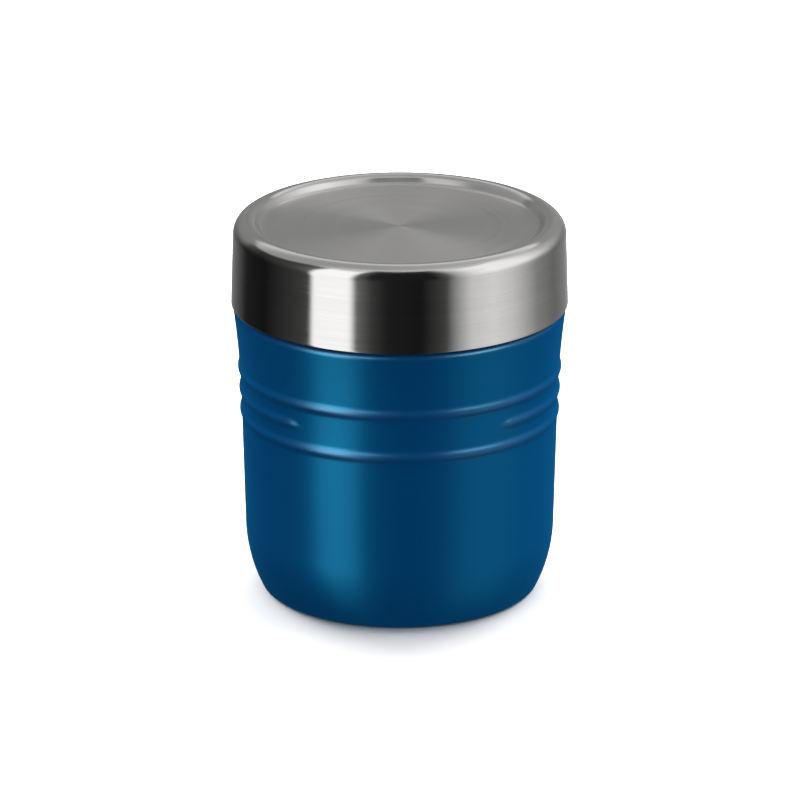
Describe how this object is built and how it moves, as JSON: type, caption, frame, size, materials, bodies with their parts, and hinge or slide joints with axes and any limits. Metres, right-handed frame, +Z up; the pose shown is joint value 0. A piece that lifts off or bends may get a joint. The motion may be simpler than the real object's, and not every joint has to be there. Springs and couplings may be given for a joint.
{
  "type": "insulated food jar",
  "caption": "Round double-walled steel food jar with ribs around a coated wall and a brushed steel screw lid that lifts off along its thread.",
  "frame": {"origin": "centre of the base, on the ground that the jar stands on", "axes": "+Z up along the jar's axis, -Y towards the front, where the middle rib is interrupted"},
  "size_m": [0.106, 0.106, 0.1212],
  "materials": {
    "blue_coat": "satin",
    "brushed_steel": "satin",
    "bare_steel": "satin",
    "copper": "gloss",
    "getter_metal": "matte",
    "solder_glass": "gloss",
    "pad_silicone": "matte",
    "lid_polymer": "satin",
    "foam": "matte",
    "seal_silicone": "satin"
  },
  "bodies": {
    "jar": {"outer_shell": "blue_coat", "neck_ring": "bare_steel", "liner_tube": "bare_steel", "liner_bottom": "bare_steel", "copper_foil": "copper", "getter_clip": "bare_steel", "getter_pellet": "getter_metal", "vacuum_base": "bare_steel", "solder_seal": "solder_glass", "base_cap": "brushed_steel", "base_pad": "pad_silicone"},
    "seal": {"seal_ring": "seal_silicone"},
    "lid": {"lid_shell": "brushed_steel", "lid_core": "lid_polymer", "lid_foam": "foam", "lid_cover": "lid_polymer"}
  },
  "joints": [
    {"name": "lid_rise", "type": "slide", "parent": "jar", "child": "seal", "axis": [0, 0, 1], "range_m": [0, 0.036]},
    {"name": "lid_turn", "type": "hinge", "parent": "seal", "child": "lid", "pos_m": [0, 0, 0.0937], "axis": [0, 0, 1], "range_deg": [0, 1080]}
  ],
  "couplings": [
    {"joint": "lid_rise", "follows": "lid_turn", "m_per_rad": 0.0019099}
  ]
}
